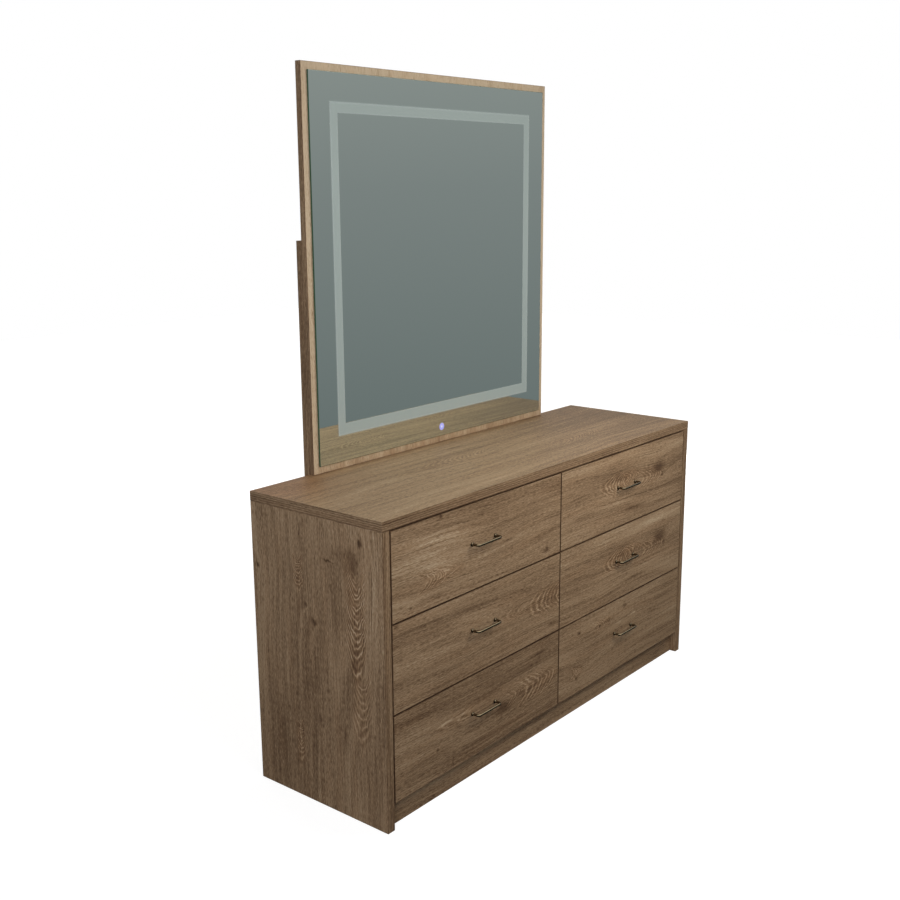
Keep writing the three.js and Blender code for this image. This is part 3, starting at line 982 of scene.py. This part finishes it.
@dataclass(frozen=True)
class BoxFoil:
    """The pale foil on a drawer box, with its grain along each of the box's boards."""

    board: float = 15 * MM
    pale: Colour = paint(206, 188, 157)
    dark: Colour = paint(176, 156, 126)
    broad: Pair = (3.0, 45.0)
    fine: Pair = (24.0, 420.0)

    def material(self, node: str) -> Material:
        """Make the material of one box.

        Args:
            node: The box's CAD node.

        Returns:
            Its material.
        """
        material, shader, skin = new_material(f"foil_{node}")
        low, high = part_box(node)
        x, y, z = shader.place()
        side = shader.near_end(x, low.x, high.x, self.board)
        along, across = shader.mix(side, x, y), shader.mix(side, y, x)
        broad, fine = (
            shader.noise(shader.combine(along * stretch, across * density + z * density), 3.0)
            for stretch, density in (self.broad, self.fine)
        )
        tone = fine * 0.4 + broad * 0.6
        coat = {
            "Base Color": shader.ramp(tone, {0.34: self.dark, 0.62: self.pale}),
            "Roughness": shader.ease(tone, 0.3, 0.7, 0.62, 0.54),
            "Normal": shader.bump(fine, 0.12),
        }
        shader.feed(skin, coat)
        return material


@dataclass(frozen=True)
class MirrorGlass:
    """Silvered glass with a sand-blasted, lit band, a lit touch symbol and bare edges.

    A pair says where something starts and ends to fade: the band's inner and outer edge from the
    glass's middle, the symbol's disc and its heart from their own.
    """

    band_inner: Pair = (400 * MM, 404 * MM)
    band_outer: Pair = (424 * MM, 433 * MM)
    band_sill: float = 4.5 * MM
    disc: Pair = (9.5 * MM, 12.5 * MM)
    heart: Pair = (2 * MM, 5 * MM)
    symbol_height: float = 47 * MM
    edge: float = 0.7 * MM
    band_power: float = 0.28
    disc_power: float = 0.82
    tint: Colour = (0.75, 0.83, 0.77, 1.0)
    frost: Colour = paint(150, 158, 152)
    glow: Colour = paint(150, 163, 158)
    disc_blue: Colour = paint(126, 140, 246)
    heart_blue: Colour = paint(205, 212, 246)
    edge_green: Colour = paint(46, 76, 54)

    def material(self, glass: str, board: str) -> Material:
        """Make the material.

        Args:
            glass: The glass's CAD node.
            board: The CAD node of the board behind it.

        Returns:
            The material.
        """
        material, shader, skin = new_material("mirror_glass")
        low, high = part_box(glass)
        board_low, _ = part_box(board)
        x, _, z = shader.place()
        middle_z = (low.z + high.z) / 2
        off = shader.math("MAXIMUM", abs(x), abs(z - middle_z))
        off_inner = shader.math("MAXIMUM", off, middle_z + self.band_sill - z)
        band = shader.ease(off_inner, *self.band_inner) * shader.fade(off, *self.band_outer)
        radius = shader.length(x, z - (board_low.z + self.symbol_height))
        disc = shader.fade(radius, *self.disc)
        symbol = shader.blend(shader.fade(radius, *self.heart), self.disc_blue, self.heart_blue)
        edge = shader.math("GREATER_THAN", off, (high.x - low.x) / 2 - self.edge)
        rest = 1.0 - edge
        power = band * self.band_power + disc * self.disc_power
        coat = {
            "Base Color": shader.blend(
                edge, shader.blend(band, self.tint, self.frost), self.edge_green
            ),
            "Metallic": rest * shader.ease(band, 0.0, 1.0, 1.0, 0.35),
            "Roughness": shader.ease(band, 0.0, 1.0, 0.02, 0.3),
            "Emission Color": shader.blend(disc, self.glow, symbol),
            "Emission Strength": power * rest,
        }
        shader.feed(skin, coat)
        return material


# Stage


@dataclass(frozen=True)
class Lamp:
    """A soft square lamp: where it hangs, the point that it faces, its side, watts and colour."""

    name: str
    place: Place
    target: Place
    size: float
    power: float
    colour: Place = (1.0, 1.0, 1.0)

    def hang(self) -> None:
        """Hang the lamp, unseen itself."""
        data = bpy.data.lights.new(self.name, "AREA")
        data.shape = "SQUARE"
        data.size = self.size
        data.energy = self.power
        data.color = self.colour
        lamp = put(self.name, data)
        lamp.visible_camera = False
        lamp.visible_glossy = False
        lamp.location = self.place
        way = Vector(self.target) - Vector(self.place)
        lamp.rotation_euler = way.to_track_quat("-Z", "Y").to_euler()


LAMPS = (
    Lamp("key", (0.4, -1.15, 1.5), (0.0, 0.1, 0.8), 0.6, 14.0),
    Lamp("upper_left", (-0.9, -1.2, 1.9), (-0.2, 0.1, 0.8), 0.6, 5.6),
    Lamp("left", (-3.6, -1.6, 1.6), (-0.4, 0.0, 0.9), 1.6, 62.0, (0.98, 1.04, 1.18)),
    Lamp("right", (3.6, 0.7, 0.38), (0.7, 0.1, 0.38), 0.7, 60.0),
    Lamp("back", (0.5, 3.4, 0.38), (0.0, 0.2, 0.9), 0.7, 45.0),
)

# What mirrors and metal show, from straight down to straight up
ROOM_TONES = {
    0.33: paint(16, 13, 10),
    0.39: paint(115, 122, 124),
    0.5: paint(137, 141, 143),
    0.55: paint(151, 154, 155),
    0.64: paint(132, 146, 152),
    0.72: paint(148, 160, 168),
    0.83: (3.2, 3.0, 2.5, 1.0),
}


@dataclass(frozen=True)
class Stage:
    """The pale floor, the soft lamps and the white background.

    The floor glows for the eye alone: a little less near the dresser, where it keeps the shadow.
    """

    floor_half: float = 9.0
    floor_grey: Colour = (0.3, 0.3, 0.3, 1.0)
    near: Pair = (1.2, 2.4)
    near_glow: float = 0.84
    room: Colour = (0.16, 0.16, 0.16, 1.0)

    def floor(self) -> None:
        """Lay the floor, which stays pale where nothing shades it."""
        form = Form()
        bmesh.ops.create_grid(form.mesh, x_segments=1, y_segments=1, size=self.floor_half)
        material, shader, skin = new_material("floor")
        x, y, _ = shader.place()
        glow = shader.ease(shader.length(x, y), *self.near, self.near_glow, 1.0)
        coat = {
            "Base Color": self.floor_grey,
            "Roughness": 0.9,
            "Emission Color": WHITE,
            "Emission Strength": shader.seen() * glow,
        }
        shader.feed(skin, coat)
        floor = form.make("floor", material)
        floor.visible_glossy = False

    def world(self) -> None:
        """Make the room's soft light, the white background and what mirrors and metal show."""
        world = bpy.data.worlds.new("studio")
        bpy.context.scene.world = world
        world.use_nodes = True
        shader = Shader(world.node_tree)
        rise = shader.separate(shader.term("ShaderNodeTexCoord", out="Generated"))[2]
        wall = shader.ramp(rise * 0.5 + 0.5, ROOM_TONES)
        lit = shader.blend(shader.term("ShaderNodeLightPath", out="Is Glossy Ray"), self.room, wall)
        colour = shader.blend(shader.seen(), lit, WHITE)
        shader.feed(world.node_tree.nodes["Background"], {"Color": colour})

    def build(self) -> None:
        """Set the stage."""
        bpy.context.scene.view_settings.view_transform = "Standard"
        self.floor()
        self.world()
        for lamp in LAMPS:
            lamp.hang()
        log.info("floor, background and %d lamps", len(LAMPS))


@dataclass(frozen=True)
class View:
    """The camera, placed as it was for the photograph, with its angles in degrees."""

    place: Place = (-2.54377, -1.91762, 1.52555)
    turn: float = -50.5678
    down: float = 13.0038
    roll: float = -0.3507
    lens: float = 45.744
    sensor: float = 36.0

    def build(self) -> None:
        """Make the camera the scene's own."""
        data = bpy.data.cameras.new("camera")
        data.lens = self.lens
        data.sensor_width = self.sensor
        camera = put("camera", data)
        camera.matrix_world = (
            Matrix.Translation(self.place)
            @ Matrix.Rotation(math.radians(self.turn), 4, "Z")
            @ Matrix.Rotation(math.radians(90 - self.down), 4, "X")
            @ Matrix.Rotation(math.radians(self.roll), 4, "Z")
        )
        bpy.context.scene.camera = camera


# Sub-assemblies


class Fixing(Enum):
    """Turned fixings: the radius and height of each point, from the rim to the middle."""

    PAN_SCREW = (
        (3.4, -0.2), (3.4, 0.3), (3.0, 0.8), (2.0, 1.2), (1.4, 1.2), (1.0, 0.4), (0.0, 0.2),
    )
    FLAT_SCREW = ((4.2, -0.2), (4.2, 0.2), (4.0, 0.4), (1.9, 0.4), (1.3, -0.1), (0.0, -0.15))
    RIVET = ((2.6, -0.2), (2.6, 0.2), (2.1, 0.6), (0.9, 0.8), (0.0, 0.8))
    CAM_CAP = ((8.5, -0.2), (8.5, 0.4), (8.0, 0.8), (7.2, 0.9), (6.9, 0.7), (0.0, 0.7))

    def build(self, name: str, body: str, places: Iterable[Matrix]) -> None:
        """Make one of these fixings at each place, all one piece.

        Args:
            name: The piece's name.
            body: The CAD body that it rides on.
            places: Where they go.
        """
        if self is Fixing.CAM_CAP:
            sides, slot, finish = 28, "white_plastic", BROWN_CAP
        else:
            sides, slot, finish = 20, "runner_steel", ZINC
        form = Form()
        form.turn(((radius * MM, height * MM) for radius, height in self.value), sides)
        form.spread(places)
        form.finish(name, body, slot, finish.material())


@dataclass(frozen=True)
class Handle:
    """A rod with turned feet, bent into two legs and a rail.

    Each of the foot's steps is a height and a radius in millimetres.
    """

    centres: float = 96 * MM
    projection: float = 25 * MM
    bend: float = 8 * MM
    rod: float = 3.4 * MM
    foot: float = 5.5 * MM
    sides: int = 28
    bend_steps: int = 12
    foot_steps: tuple[Pair, ...] = (
        (2.5, 5.5), (2.9, 5.2), (3.1, 4.7), (3.4, 4.1), (4.0, 3.7), (5.0, 3.4),
    )

    def form(self) -> Form:
        """Make the rod, with its origin on the drawer front midway between the feet.

        Returns:
            Its form.
        """
        form = Form()
        start = at((-self.centres / 2, 0.0, 0.0), Facing.FRONT)
        bmesh.ops.create_circle(
            form.mesh, cap_ends=True, radius=self.foot, segments=self.sides, matrix=start
        )
        ring = list(form.mesh.edges)
        reached, width = 0.0, self.foot
        for height, radius in self.foot_steps:
            ring = form.draw(ring, (0.0, reached - height * MM, 0.0), radius * MM / width)
            reached, width = height * MM, radius * MM
        leg = self.projection - self.rod - self.bend
        ring = form.draw(ring, (0.0, reached - leg, 0.0))
        centre = (self.bend - self.centres / 2, -leg, 0.0)
        ring = form.spin(ring, centre, math.pi / 2, self.bend_steps)
        form.draw(ring, (self.centres / 2 - self.bend, 0.0, 0.0))
        bmesh.ops.mirror(form.mesh, geom=form.whole(), axis="X", merge_dist=1e-5)
        return form

    def build(self, drawer: str) -> None:
        """Put the handle on its drawer front.

        Args:
            drawer: The drawer's name.
        """
        node = f"{drawer}_handle"
        low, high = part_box(node)
        middle = (low + high) / 2
        form = self.form()
        form.spread([Matrix.Translation((middle.x, high.y, middle.z))])
        form.finish(f"{drawer}_bow_handle", drawer, "dark_metal", GUNMETAL.material(), (node,))


@dataclass(frozen=True)
class Section:
    """A runner member's section: X from the bay's wall, Z from the rollers' axis.

    It has the middle line of its rolled sheet, its gap to the wall, the axis's height above its
    lowest point, and the X of the web's face that carries its roller and screws.
    """

    line: tuple[Pair, ...]
    gap: float
    rise: float
    web: float


class Member(Enum):
    """The two members of a runner."""

    CABINET = Section(((10.4, -9.9), (0.9, -9.9), (0.9, 11.4), (10.4, 11.4)), 0.3, 10.5, 1.5)
    DRAWER = Section(((2.1, 9.9), (11.6, 9.9), (11.6, -7.4), (23.5, -7.4)), 2.1, 9.0, 11.0)


@dataclass(frozen=True)
class Runner:
    """Roller runners: rolled steel members, nylon rollers, rivets and screws.

    A member is drawn for a bay's left wall: X from the wall to the drawer, Y from its front end
    to its rear, Z from the rollers' axis.
    """

    length: float = 400 * MM
    sheet: float = 1.2 * MM
    bend: float = 1.3 * MM
    bend_steps: int = 4
    notch: float = 18.3 * MM
    roller: float = 9 * MM
    roller_width: float = 7 * MM
    roller_round: float = 0.8 * MM
    roller_sides: int = 28
    screws: tuple[float, ...] = (64 * MM, 192 * MM, 320 * MM)

    def rail(self, member: Member) -> Form:
        """Make a member's rolled sheet, which gets its thickness later.

        Args:
            member: Which member it is.

        Returns:
            Its form.
        """
        form = Form()
        line = form.chain((x * MM, 0.0, z * MM) for x, z in member.value.line)
        form.draw(line, (0.0, self.length, 0.0))
        bmesh.ops.bevel(
            form.mesh,
            geom=[edge for edge in form.mesh.edges if len(edge.link_faces) == 2],
            offset=self.bend,
            offset_type="OFFSET",
            affect="EDGES",
            segments=self.bend_steps,
            profile=0.5,
            material=-1,
        )
        if member is Member.CABINET:
            self.cut_track(form)
        return form

    def cut_track(self, form: Form) -> None:
        """Take away the track in front of the front roller.

        Args:
            form: The cabinet member's form.
        """
        cut = (0.0, self.notch, 0.0)
        bmesh.ops.bisect_plane(form.mesh, geom=form.whole(), plane_co=cut, plane_no=(0.0, 1.0, 0.0))
        middles = {face: face.calc_center_median() for face in form.mesh.faces}
        spare = [
            face for face, mid in middles.items() if mid.y < self.notch and mid.z < -self.roller
        ]
        bmesh.ops.delete(form.mesh, geom=spare, context="FACES")

    def wheel(self) -> Form:
        """Make a roller with a hollow in its outer face, its hub starting at the origin.

        Returns:
            Its form.
        """
        edge, width, soft = self.roller, self.roller_width, self.roller_round
        rim = ((edge - soft, 0.0), (edge - soft * 0.3, soft * 0.3), (edge, soft))
        form = Form()
        form.turn(
            (
                (0.0, 0.0),
                *rim,
                *((radius, width - height) for radius, height in reversed(rim)),
                (edge * 0.76, width),
                (edge * 0.7, width - soft),
                (edge * 0.42, width - soft),
                (edge * 0.38, width),
                (0.0, width),
            ),
            self.roller_sides,
        )
        return form

    def build(self, node: str, body: str, member: Member, way: int) -> None:
        """Make one member in place of its CAD node.

        Args:
            node: The CAD node.
            body: The body that it rides on.
            member: Which member it is.
            way: 1 on a bay's left wall, -1 on its right wall.
        """
        low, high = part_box(node)
        section = member.value
        wall = (low.x if way > 0 else high.x) - way * section.gap * MM
        place = Matrix.Translation((wall, low.y, low.z + section.rise * MM))
        place = place @ Matrix.Diagonal((way, 1, 1, 1))
        web = section.web * MM
        if member is Member.CABINET:
            inwards, axle_y, axle_end = Facing.RIGHT, self.roller, web + self.roller_width
        else:
            inwards, axle_y = Facing.LEFT, self.length - self.roller
            axle_end = web - self.roller_width

        rail = self.rail(member)
        rail.spread([place])
        piece = rail.finish(f"{node}_rail", body, "runner_steel", COATED_STEEL.material(), (node,))
        shell = piece.modifiers.new("sheet", "SOLIDIFY")
        shell.thickness = self.sheet
        shell.offset = 0.0

        wheel = self.wheel()
        wheel.spread([place @ at((web, axle_y, 0.0), inwards)])
        wheel.finish(f"{node}_roller", body, "runner_steel", NYLON.material())

        rivet = place @ at((axle_end, axle_y, 0.0), inwards)
        Fixing.RIVET.build(f"{node}_rivet", body, [rivet])
        spots = [place @ at((web, y, 0.0), inwards) for y in self.screws]
        Fixing.PAN_SCREW.build(f"{node}_screws", body, spots)


@dataclass(frozen=True)
class Drawer:
    """A drawer with its handle and runner members, and the cabinet's runner members beside it."""

    row: str
    column: str
    handle: Handle = Handle()
    runner: Runner = Runner()
    foil: BoxFoil = BoxFoil()
    tie_inset: float = 60 * MM
    tie_height: float = 30 * MM

    @property
    def name(self) -> str:
        """The drawer's name, which is its body's name too."""
        return f"drawer_{self.row}_{self.column}"

    def screws(self) -> None:
        """Make the screws inside that hold the handle, and those that tie the front to the box."""
        low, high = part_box(f"{self.name}_box")
        handle_low, handle_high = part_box(f"{self.name}_handle")
        middle = (handle_low + handle_high) / 2
        spots = [(middle.x + way * self.handle.centres / 2, middle.z) for way in (-1, 1)]
        for x in (low.x + self.tie_inset, high.x - self.tie_inset):
            spots += [(x, z) for z in (low.z + self.tie_height, high.z - self.tie_height)]
        inner = low.y + self.foil.board
        places = [at((x, inner, z), Facing.BACK) for x, z in spots]
        Fixing.PAN_SCREW.build(f"{self.name}_screws", self.name, places)

    def build(self) -> None:
        """Dress the drawer's boards and make its metal."""
        box = f"{self.name}_box"
        wear(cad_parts[box], self.foil.material(box))
        wear(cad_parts[f"{self.name}_bottom"], HARDBOARD.material())
        self.handle.build(self.name)
        self.screws()
        for side, way in zip(SIDES, (1, -1)):
            self.runner.build(f"{self.name}_runner_{side}", self.name, Member.DRAWER, way)
            bay = f"bay_{self.row}_{self.column}_runner_{side}"
            self.runner.build(bay, "cabinet", Member.CABINET, way)
        log.info("%s: box, bottom, handle, screws, two runners", self.name)


@dataclass(frozen=True)
class Carcass:
    """The boards of the chest, and the caps on their cams."""

    cam_inset: float = 34 * MM
    cam_places: tuple[float, ...] = (60 * MM, 370 * MM)

    def cams(self) -> None:
        """Make the caps on the cams under the bottom panel and on the divider."""
        low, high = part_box("bottom_panel")
        places = [
            at((x, low.y + y, low.z), Facing.DOWN)
            for x in (low.x + self.cam_inset, high.x - self.cam_inset)
            for y in self.cam_places
        ]
        low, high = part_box("centre_divider")
        places += [
            at((high.x, low.y + y, z), Facing.RIGHT)
            for z in (low.z + self.cam_inset, high.z - self.cam_inset)
            for y in self.cam_places
        ]
        Fixing.CAM_CAP.build("cam_caps", "cabinet", places)

    def build(self) -> None:
        """Dress the boards and cap the cams."""
        oak = Oak()
        for board in BOARDS:
            wear(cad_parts[board.node], oak.material(board))
            log.info("%s: oak", board.node)
        wear(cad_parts["back_panel"], HARDBOARD.material())
        self.cams()
        log.info("back panel and cam caps")


@dataclass(frozen=True)
class Mirror:
    """The mirror glass, its lighting kit, and the screws of the mirror board and its posts."""

    post_inset: float = 25 * MM
    post_screws: tuple[float, ...] = (79 * MM, 772 * MM, 840 * MM, 1120 * MM, 1365 * MM)
    ear_reach: float = 82 * MM
    ear_face: float = 2.8 * MM
    ear_height: float = 103 * MM

    def screws(self) -> None:
        """Make the countersunk screws in the posts' backs, and the two in the driver's ears."""
        spots = []
        for side in SIDES:
            low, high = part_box(f"mirror_post_{side}")
            for x in (low.x + self.post_inset, high.x - self.post_inset):
                spots += [at((x, high.y, z), Facing.BACK) for z in self.post_screws]
        Fixing.FLAT_SCREW.build("post_screws", "cabinet", spots)
        low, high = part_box("mirror_board")
        y, z = high.y + self.ear_face, low.z + self.ear_height
        ears = [at((x, y, z), Facing.BACK) for x in (-self.ear_reach, self.ear_reach)]
        Fixing.PAN_SCREW.build("driver_screws", "cabinet", ears)

    def build(self) -> None:
        wear(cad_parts["mirror_glass"], MirrorGlass().material("mirror_glass", "mirror_board"))
        wear(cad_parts["lighting_kit"], WHITE_PLASTIC.material())
        self.screws()
        log.info("mirror glass, lighting kit, screws")


def main() -> None:
    """Set the stage and dress the dresser, piece by piece."""
    View().build()
    Stage().build()
    Carcass().build()
    Mirror().build()
    for row in ROWS:
        for column in COLUMNS:
            Drawer(row, column).build()
    log.info("sizes written")


if __name__ == "__main__":
    main()
